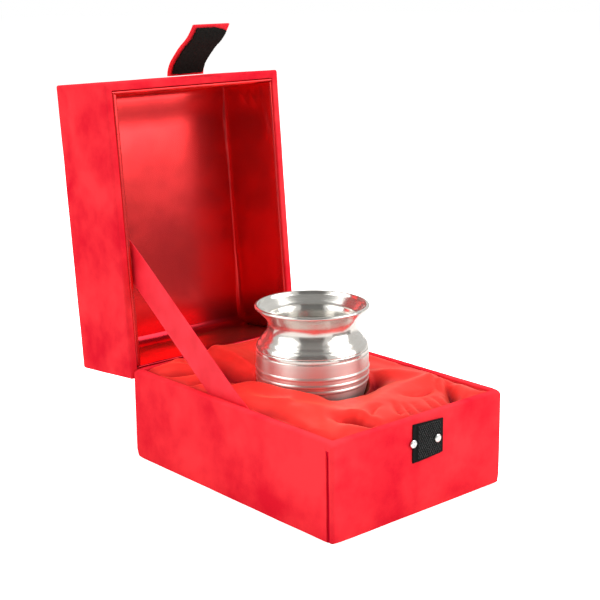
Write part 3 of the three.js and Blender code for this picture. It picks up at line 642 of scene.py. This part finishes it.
# The folds of the loose satin: how wide it falls off to the left and to the right of a line, then the line's
# places with the rise at each. A rise rounds over and a hollow is creased.
FOLDS = [
    (3.2, 7.0, [(-47, 15, 0.4), (-39, 12, 2.6), (-32.5, 8, 3.5), (-30, 0, 3.8), (-29.5, -8, 3.7), (-26.5, -15.5, 3.2),
                (-20.5, -22.5, 1.5), (-14, -27, -0.4)]),
    (4.0, 4.0, [(-41, 3, 1.2), (-43, -6, 1.9), (-42, -14, 2.2), (-38, -22, 2.0)]),
    (9.0, 9.0, [(-37, -26, 2.0), (-33, -38, 2.8), (-31, -47, 2.6)]),
    (4.0, 2.4, [(-50, -10, -1.2), (-48.5, -19, -3.8), (-49, -28, -3.6), (-51, -39, -2.6), (-50.5, -50, -1.2)]),
    (3.4, 3.4, [(-33, -54, -3.0), (-30.5, -58.5, -8.6), (-27, -62, -9.2), (-25, -67, -4.4)]),
    (2.6, 2.6, [(-24.5, -54, 1.4), (-22, -60, 1.6), (-20.5, -67, 1.2)]),
    (4.0, 4.0, [(-12, -28, -3.0), (-4, -29, -3.8), (3, -29, -3.4), (9, -28, -3.4), (12, -26, -3.0)]),
    (6.0, 9.0, [(-18, -56, 2.2), (-4, -50, 2.4), (10, -46, 2.0), (24, -44, 2.2), (36, -46, 2.6)]),
    (1.5, 1.5, [(0, -57, -1.0), (-5, -66, -2.8)]),
    (1.3, 1.3, [(3.5, -60, -0.8), (-0.5, -69, -2.8)]),
    (1.6, 1.6, [(8, -62, -0.8), (5, -70, -2.2)]),
    (1.4, 1.4, [(17, -61, -0.8), (13, -71, -2.6)]),
    (1.4, 1.4, [(22, -62, -0.8), (19.5, -71, -2.4)]),
    (1.6, 1.6, [(28, -63, -0.8), (25, -71, -2.0)]),
    (2.4, 2.4, [(43, -49, -1.8), (38, -57, -6.0), (32, -64.5, -6.6), (27.5, -70, -4.4)]),
    (5.0, 4.0, [(41, -60, 1.4), (40, -69, 1.4)]),
    (2.6, 2.6, [(50.8, -42, -3.4), (50.8, -54, -7.4), (50.4, -66, -5.0)]),
    (3.5, 7.0, [(5, -31, -1.2), (12, -31.5, 0.2), (19, -34.5, 0.8), (27, -38.5, 1.2), (36, -43, 1.4)]),
    (4.0, 4.6, [(13, -27.5, -3.6), (18, -25.5, -6.8), (23, -21.5, -7.0), (27, -17, -4.0), (29, -10, -1.6)]),
    (4.0, 6.0, [(28, -9, 1.0), (31, -16, 2.2), (35, -23, 2.8), (38, -30, 2.6), (41, -38, 2.4), (42, -46, 1.8)]),
    (6.0, 4.0, [(46, 30, 1.4), (47, 10, 1.2), (47, -10, 1.0)]),
    (2.0, 2.0, [(50.8, 24, -1.6), (50.8, 6, -5.4), (50.8, -6, -5.0), (50.8, -16, -1.6)]),
    (12.0, 3.0, [(-12, 66, 3.4), (-9.5, 52, 3.8), (-11, 40, 3.4), (-14, 30, 2.6), (-18, 23, 1.4)]),
    (9.0, 10.0, [(2, 63, 3.0), (20, 62, 4.2), (34, 60, 3.4), (44, 54, 2.4)]),
    (3.0, 8.0, [(-18, 64, -2.4), (-19.5, 50, -5.2), (-21.5, 40, -6.2), (-22.5, 30, -5.8), (-20.5, 23, -4.2)]),
    (6.0, 7.0, [(-48, 66, 1.0), (-41, 60, 3.2), (-37, 48, 3.0), (-42, 32, 1.4)]),
    (5.0, 4.0, [(-34, 66, 3.2), (-22, 65, 4.4), (-12, 64, 2.2)]),
    (8.0, 8.0, [(-44, -60, 0.8), (-38, -66, 1.4)]),
    (3.0, 3.4, [(-50, 60, -2.6), (-43, 51, -5.0), (-35, 43, -5.4), (-28, 34, -3.0)]),
    (2.4, 2.8, [(-49, 36, -2.4), (-41, 31, -4.4), (-33, 24, -4.0), (-30, 16, -1.6)]),
    (2.2, 2.2, [(-30, 67, -2.4), (-28, 58, -4.2), (-29, 50, -2.6)]),
    (1.6, 1.6, [(-20, -63, -0.8), (-15, -58, -2.4), (-9, -56, -1.0)]),
    (1.8, 1.6, [(12, -52, -0.8), (19, -55, -2.4), (27, -54, -2.2), (33, -51, -0.8)]),
    (1.7, 1.5, [(30, -60, -0.8), (36, -50, -2.2), (44, -44, -2.0)]),
]
SMOOTH_FOLDS = [(left, right, [tuple(p) for p in through(line, 3 * len(line))[0]]) for left, right, line in FOLDS]
# On the left the cushion leaves room for the ribbon's slot
CUSHION_LEFT, CUSHION_RIGHT, CUSHION_HALF = -HALF_WIDTH + WALL + 2, HALF_WIDTH - WALL - 0.6, HALF_DEPTH - WALL - 0.6


def fold_lift(x, y, left, right, line):
    """How far one fold lifts the satin at a place."""
    nearest, lift, side = 1e9, 0.0, 0.0
    for (ax, ay, a), (bx, by, b) in zip(line, line[1:]):
        dx, dy = bx - ax, by - ay
        t = min(max(((x - ax) * dx + (y - ay) * dy) / (dx * dx + dy * dy), 0.0), 1.0)
        ex, ey = x - ax - t * dx, y - ay - t * dy
        if ex * ex + ey * ey < nearest:
            nearest, lift, side = ex * ex + ey * ey, a + (b - a) * t, dx * ey - dy * ex
    reach = math.sqrt(nearest) / (left if side > 0 else right)
    return lift * math.exp(-reach ** (2.0 if lift > 0 else 1.5))


def satin_height(x, y):
    z = BASE_HEIGHT + 0.8 + sum(fold_lift(x, y, *fold) for fold in SMOOTH_FOLDS)
    return z + 0.35 * wobble((x, y, 0), 11, 5.0) + 0.16 * wobble((x, 0.6 * y, 0), 5, 9.0)


def add_pad(bm, rows):
    made = draw_out(bm, rows[0], rows[1:], closed=True)
    for loop in (made[-1], made[0]):
        bmesh.ops.contextual_create(bm, geom=loop)


def closed_pad(rows):
    """A closed form through loops of places, with both of its ends covered."""
    bm = bmesh.new()
    add_pad(bm, rows)
    return bm


def outline_of(left, low, right, high, step):
    """Points about one step apart round a rectangle, from its low left corner on."""
    corners = [(left, low), (right, low), (right, high), (left, high)]
    return [p for a, b in zip(corners, corners[1:] + corners[:1]) for p in spaced(a, b, step)]


def cushion():
    outline = outline_of(CUSHION_LEFT, -CUSHION_HALF, CUSHION_RIGHT, CUSHION_HALF, 1.4)
    for p in outline:
        # towards the front left corner the satin reaches over the ribbon's slot to the wall
        if p.x < CUSHION_LEFT + 0.01:
            p.x -= 1.5 * smooth_step((-48 - p.y) / 8)
    mouth = BELLY + 0.5
    floor_level = FOOT_LEVEL - 0.3

    def at(p, z):
        return Vector((p.x, p.y, z))

    underside = floor_level - 3.7
    rows = [[at(p * 0.3, underside) for p in outline], [at(p, underside) for p in outline]]
    for z in (30, 36, 41, 44):
        rows.append([at(p, z) for p in outline])
    for share in [0.0, 0.004, 0.01, 0.02, 0.035, 0.055] + [0.08 + 0.92 * i / 40 for i in range(41)]:
        row = []
        for p in outline:
            q = p.lerp(p.normalized() * (mouth + 1.5), share)
            edge = (1 - share) ** 22
            row.append(at(q, satin_height(q.x, q.y) * (1 - edge) + (BASE_HEIGHT - 1.2) * edge))
        rows.append(row)
    # over the mouth's edge and down into the well, which follows the pot's foot 0.5 mm away
    mouth_level = floor_level + 14
    for out, rise in ((0.8, 0.98), (0.3, 0.93), (0.0, 0.8)):
        row = []
        for p in outline:
            q = p.normalized() * (mouth + out)
            row.append(at(q, mouth_level + (satin_height(q.x, q.y) - mouth_level) * rise))
        rows.append(row)
    for h, r in ((14, 27.6), (11, 26.8), (7.5, 25.3), (4, 22.9), (1.5, 20.4), (0, 18.0)):
        rows.append([at(p.normalized() * (r + 0.5), floor_level + h) for p in outline])
    for r in (12, 6, 2):
        rows.append([at(p.normalized() * r, floor_level) for p in outline])
    piece = finished(closed_pad(rows), "satin_cushion_cloth", cushion_satin, "case_base", "red_satin", "satin_cushion")


def foam_block():
    low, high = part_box("foam_bed")
    low, high = Vector(low) * 1000, Vector(high) * 1000
    bm = bmesh.new()
    bmesh.ops.create_cube(bm, size=1)
    shape = Matrix.Translation((low + high) / 2) @ Matrix.Diagonal((*(high - low), 1))
    bmesh.ops.transform(bm, matrix=shape, verts=bm.verts)
    bmesh.ops.bevel(bm, geom=bm.edges, offset=1.5, segments=3, affect="EDGES", profile=0.5, material=-1)
    bmesh.ops.subdivide_edges(bm, edges=[e for e in bm.edges if e.calc_length() > 20], cuts=6, use_grid_fill=True)
    piece = finished(bm, "foam_block", foam, "case_base", "foam", "foam_bed")


# The lid's lining: cards wrapped in satin, one on each wall and one under the top
SEAT, CARD, CROWN = WALL + 0.3, 1.3, 1.1
ROOF = LID_HEIGHT - 1.0 - 2.2 - 0.3


def lining_card(name, node, width, height, thickness, place, waves, foot=0.0):
    """Satin drawn over a padded card. It lies in XY and faces +Z, and swells out round the corner at its foot."""
    outline = outline_of(-width / 2, -height / 2, width / 2, height / 2, 2.2)

    def shrunk(p, inset):
        return Vector((p.x * (1 - 2 * inset / width), p.y * (1 - 2 * inset / height)))

    def front(p):
        u, v = 1 - abs(2 * p.x / width) ** 4, 1 - abs(2 * p.y / height) ** 4
        near = max(0.0, foot - p.y - height / 2)
        swell = foot - math.sqrt(foot * foot - near * near) if near else 0.0
        return thickness + CROWN * u * v + waves(p.x, p.y) * min(1.0, 6 * u) * min(1.0, 6 * v) + swell

    rows = [[Vector((*(p * 0.4), 0)) for p in outline], [Vector((*shrunk(p, 0.4), 0)) for p in outline]]
    rows += [[Vector((*p, z)) for p in outline] for z in (0.4, 0.5 * thickness, thickness - 0.5)]
    for inset, rise in ((0.15, -0.2), (0.5, -0.02)):
        rows.append([Vector((*shrunk(p, inset), thickness + rise)) for p in outline])
    for share in [0.02, 0.04, 0.07] + [0.1 + 0.9 * i / 20 for i in range(20)]:
        rows.append([Vector((*(p * (1 - share)), front(p * (1 - share)))) for p in outline])
    piece = finished(closed_pad(rows), name, lining_satin, "lid", "red_satin", node, place=LID_PLACE @ place, smooth=50)


def lid_lining():
    # in the right wall's front corner the satin is gathered
    gathers = {"right": [
        (1.6, 1.6, [(-70, 9, 1.6), (-60, 13, 1.4), (-42, 17, 0.8)]),
        (1.3, 1.3, [(-70, 2, 1.2), (-57, 9, 1.0)]),
        (1.6, 1.6, [(-70, -6, 1.4), (-62, -3, 0.8)]),
    ]}
    # each wall's turn, half length and distance, then the card's thickness, gap to the rim and swell at its foot
    for side, turn, half, out, thickness, recess, foot in (
        ("front", 0, HALF_WIDTH, HALF_DEPTH, CARD, 0.5, 0.0),
        ("right", 90, HALF_DEPTH, HALF_WIDTH, CARD, 0.5, 5.0),
        ("back", 180, HALF_WIDTH, HALF_DEPTH, CARD, 1.5, 8.0),
        ("left", 270, HALF_DEPTH, HALF_WIDTH, 2.4, 0.6, 0.0),
    ):
        width = 2 * (half - SEAT) - (0 if side in ("front", "back") else 2 * (CARD + 0.3))
        height = ROOF - CARD - 0.3 - recess
        place = (
            Matrix.Rotation(math.radians(turn), 4, "Z")
            @ Matrix.Translation((0, SEAT - out, recess + height / 2))
            @ Matrix.Rotation(math.radians(-90), 4, "X")
        )

        def waves(x, y, out=out, folds=gathers.get(side, [])):
            ripple = 0.3 * wobble((x, y, out), 16, 2.0) + 0.1 * wobble((x, y, out), 6, 4.0)
            return ripple + sum(fold_lift(x, y, *fold) for fold in folds)

        lining_card(f"lining_{side}_satin", f"lid_lining_{side}", width, height, thickness, place, waves, foot)
    # the top card bows out, and leans forward at its far end
    lining_card("lining_top_satin", "lid_lining_top", CASE_WIDTH - 2 * SEAT, CASE_DEPTH - 2 * SEAT, CARD,
                Matrix.Translation((0, 0, ROOF)) @ Matrix.Rotation(math.pi, 4, "X"),
                lambda x, y: 0.25 * wobble((x, y, 0), 40, 1.0) + 0.05 * wobble((x, y, 0), 9, 6.0)
                + 1.1 * (1 - (y / 70) ** 2) + 1.4 * smooth_step((y - 50) / 18))


def cloth_band(path, left, right, thickness, across):
    """A closed band of cloth: a path in the YZ plane, thickened to both sides and drawn out along X."""
    round_edge = 0.35
    steps = [i / across for i in range(across + 1)]
    xs = [left + (right - left) * t for t in steps]
    loops = []
    for (y, z), (ny, nz) in zip(path, normals_of(path)):
        loop = []
        for side, line in ((1, xs), (-1, xs[::-1])):
            for x in line:
                inset = min(x - left, right - x)
                full = thickness / 2 * (1 - 0.55 * max(0.0, 1 - inset / round_edge) ** 2)
                loop.append(Vector((x, y + side * full * ny, z + side * full * nz)))
        loops.append(loop)
    return closed_pad(loops)


def normals_of(path):
    """The normal at each point of a path in the YZ plane."""
    found = []
    for i in range(len(path)):
        a, b = path[max(i - 1, 0)], path[min(i + 1, len(path) - 1)]
        t = Vector((b[0] - a[0], b[1] - a[1])).normalized()
        found.append((-t.y, t.x))
    return found


# The stay ribbon
RIBBON_WIDTH, RIBBON, IN_SLOT, IN_LID = 17.2, 0.5, -51.25, -47.45
RIBBON_ON_BASE, RIBBON_ON_LID, RIBBON_IN_BASE, RIBBON_IN_LID = 71.8, 57.7, 26, 14


def stay_ribbon():
    a = Vector((IN_SLOT, HALF_DEPTH - RIBBON_ON_BASE, BASE_HEIGHT))
    b = Vector((IN_LID, *on_open_lid(HALF_DEPTH - RIBBON_ON_LID, 0)))
    along = Vector((0, b.y - a.y, b.z - a.z)).normalized()
    across = Vector((0, -along.z, along.y))
    middles = spaced(a - along * RIBBON_IN_BASE, a, 2) + spaced(a, b, 2) + spaced(b, b + along * RIBBON_IN_LID, 2)
    loops = []
    for m in middles:
        loop = []
        for side, order in ((1, 1), (-1, -1)):
            for k in list(range(-6, 7))[::order]:
                w = k / 6
                # the woven edge is a little thicker than the ribbon's middle, and rounds off
                hem, end = 0.25 * smooth_step((abs(w) - 0.8) / 0.15), 0.3 * smooth_step((abs(w) - 0.97) / 0.03)
                thick = RIBBON / 2 * (0.75 + hem - end)
                dip = 0.12 * wobble((0, m.y, k * 3.0), 20, 8.0)
                loop.append(m + across * (w * RIBBON_WIDTH / 2) + Vector((side * thick + dip, 0, 0)))
        loops.append(loop)
    piece = finished(closed_pad(loops), "stay_ribbon_weave", ribbon_weave, None, "red_satin", "stay_ribbon", smooth=60)
    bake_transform(piece)


def hinge_cloth():
    half, thickness, off = 51, 0.6, 0.6
    base_y = HALF_DEPTH + off
    _, seam = on_open_lid(base_y, 0)
    points = [(base_y, seam - 18), (base_y, seam - 10), (base_y, seam - 3), (base_y + 0.35, seam - 1.2)]
    points += [on_open_lid(base_y + 0.35, 1.2)] + [on_open_lid(base_y, z) for z in (3, 10, 18)]
    path, length = through(points, 36)
    bm = cloth_band(path, -half, half, thickness, 50)
    piece = finished(bm, "hinge_cloth_velvet", velvet, None, "red_velvet", "hinge_cloth", smooth=60)
    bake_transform(piece)


# The closure
CLOSURE, TAPE = 3.4, 20
STRAP_CURVE = [(0, 0), (3, -0.8), (7, -3.6), (11, -8.3), (14.5, -13), (17.8, -18.6), (21.3, -22.8), (24.7, -25.8)]


def strap():
    left, right = CLOSURE - TAPE / 2, CLOSURE + TAPE / 2
    root = Vector((-HALF_DEPTH - 0.8, 12.5))
    points = [(root.x - out, root.y + rise) for out, rise in STRAP_CURVE]
    steps = 60
    path, length = through(points, steps)
    bm = cloth_band(path, left - 2.2, right + 1.2, 1.0, 24)
    cloth = finished(bm, "strap_cloth", velvet, "strap", "red_velvet", "strap_velvet", place=LID_PLACE, smooth=60)
    # the loops stand 1 mm off the cloth, combed into tufts
    first, last = round(steps * 1.0 / length), round(steps * (length - 1) / length)
    normals = normals_of(path)
    near = [(p.x + n[0] * 1.3, p.y + n[1] * 1.3) for p, n in zip(path, normals)][first:last + 1]
    finer, tape_length = through(near, 56)
    bm = cloth_band(finer, left, right, 1.0, 46)
    bm.normal_update()
    # the far right corner is drawn back a little
    end = Vector((right, *finer[-1]))
    back = Vector((0, *(finer[-6] - finer[-1]).normalized()))
    for v in bm.verts:
        v.co += v.normal * (0.16 * wobble(v.co, 1.1, 3.0) + 0.1 * wobble(v.co, 0.6, 5.0))
        v.co += 2.4 * back * max(0.0, 1 - (v.co - end).length / 9) ** 1.5
    tape = finished(bm, "loop_tape_fuzz", fuzz, "strap", "black_tape", "loop_tape", place=LID_PLACE, smooth=60)


def hook_tape():
    face, middle = -HALF_DEPTH - 0.1, 34.9
    left, right = CLOSURE - TAPE / 2, CLOSURE + TAPE / 2

    def half(x):
        """Half of the tape's height, which is cut a little shorter towards the right."""
        return (18.6 + (16.4 - 18.6) * (x - left) / TAPE) / 2

    # across the tape: a flat selvedge on each side of the raised field of hooks, as a place and a height
    section = [(left, 0.05), (left, 0.42), (left + 0.15, 0.5), (left + 1.3, 0.47), (left + 2.6, 0.5)]
    section += [(left + 2.6 + 0.3, 0.78)]
    section += [(left + 3.4 + (right - 1.9 - 0.5 - left - 3.4) * i / 12, 0.8) for i in range(13)]
    section += [(right - 1.9, 0.78), (right - 1.6, 0.5), (right - 0.8, 0.47), (right - 0.15, 0.5)]
    section += [(right, 0.42), (right, 0.05)]
    rows = []
    for k in range(25):
        w = -1 + k / 12
        row = []
        for x, d in section:
            # the cut ends are drawn in a little at the left corners
            nip = 0.5 * max(0.0, 1 - (x - left) / 1.6) ** 2 * max(0.0, abs(w) - 0.8) / 0.2
            row.append(Vector((x + nip, face - d, middle + w * half(x))))
        back = [Vector((x, face, middle + w * half(x))) for x, _ in section[-2:0:-1]]
        rows.append(row + back)
    band = finished(closed_pad(rows), "hook_tape_band", nylon, "case_base", "black_tape", "hook_tape", smooth=50)

    # moulded hooks in rows, 1.2 mm apart, each a bent peg
    bm = bmesh.new()
    for i in range(12):
        for j in range(15):
            x = left + 3.5 + i * 1.2 + 0.25 * wobble((i, j, 0), 0.7, 1.0) + (0.6 if j % 2 else 0)
            if x > right - 2.0:
                continue
            z = middle - 7.6 + j * 1.08 + 0.2 * wobble((i, j, 4), 0.7, 2.0)
            if abs(z - middle) > half(x) - 0.5:
                continue
            lean = 0.9 * wobble((i, j, 9), 0.6, 3.0)
            loops = []
            for bend in range(5):
                a = bend / 4 * math.radians(150)
                out, down = 0.32 * math.sin(a) + 0.02, 0.3 * (1 - math.cos(a))
                size = 0.24 - 0.03 * bend
                centre = Vector((x + lean * down, face - 0.8 - out * 0.75, z + 0.3 - down))
                tilt = Vector((0, -math.sin(a), -math.cos(a))) * size * 0.6
                side = Vector((size, 0, 0)) * 0.8
                loops.append([centre + side + tilt, centre - side + tilt, centre - side - tilt, centre + side - tilt])
            add_pad(bm, loops)
    hooks = finished(bm, "hook_field", hooks_nylon, "case_base", "black_tape", smooth=70)

    # a domed head with a flat rim and a shallow punch mark in its middle
    head = [(0, 0), (1.3, 0), (2.0, 0.02), (2.02, 0.2), (1.9, 0.42), (1.6, 0.62), (1.15, 0.74), (0.7, 0.74),
            (0.45, 0.68), (0.2, 0.66), (0, 0.66)]
    for name, node, across, up, seat in (
        ("left_rivet_head", "rivet_left", -9.8, 0.2, 0.5),
        ("right_rivet_head", "rivet_right", 5.8, -0.5, 1.0),
    ):
        spot = Matrix.Translation((CLOSURE + across, face - seat - 0.1, middle + up))
        finished(spun(head, 40), name, aluminium, "case_base", "rivet_metal", node,
                 place=spot @ Matrix.Rotation(math.radians(90), 4, "X"), smooth=60)


base_velvet()
lid_velvet()
kalash_piece()
cushion()
foam_block()
lid_lining()
stay_ribbon()
hinge_cloth()
strap()
hook_tape()

for name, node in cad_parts.items():
    if node.hide_render:
        continue
    look = red_paper if name == "base_bottom_sheet" else greyboard
    node.data.materials.clear()
    node.data.materials.append(look)
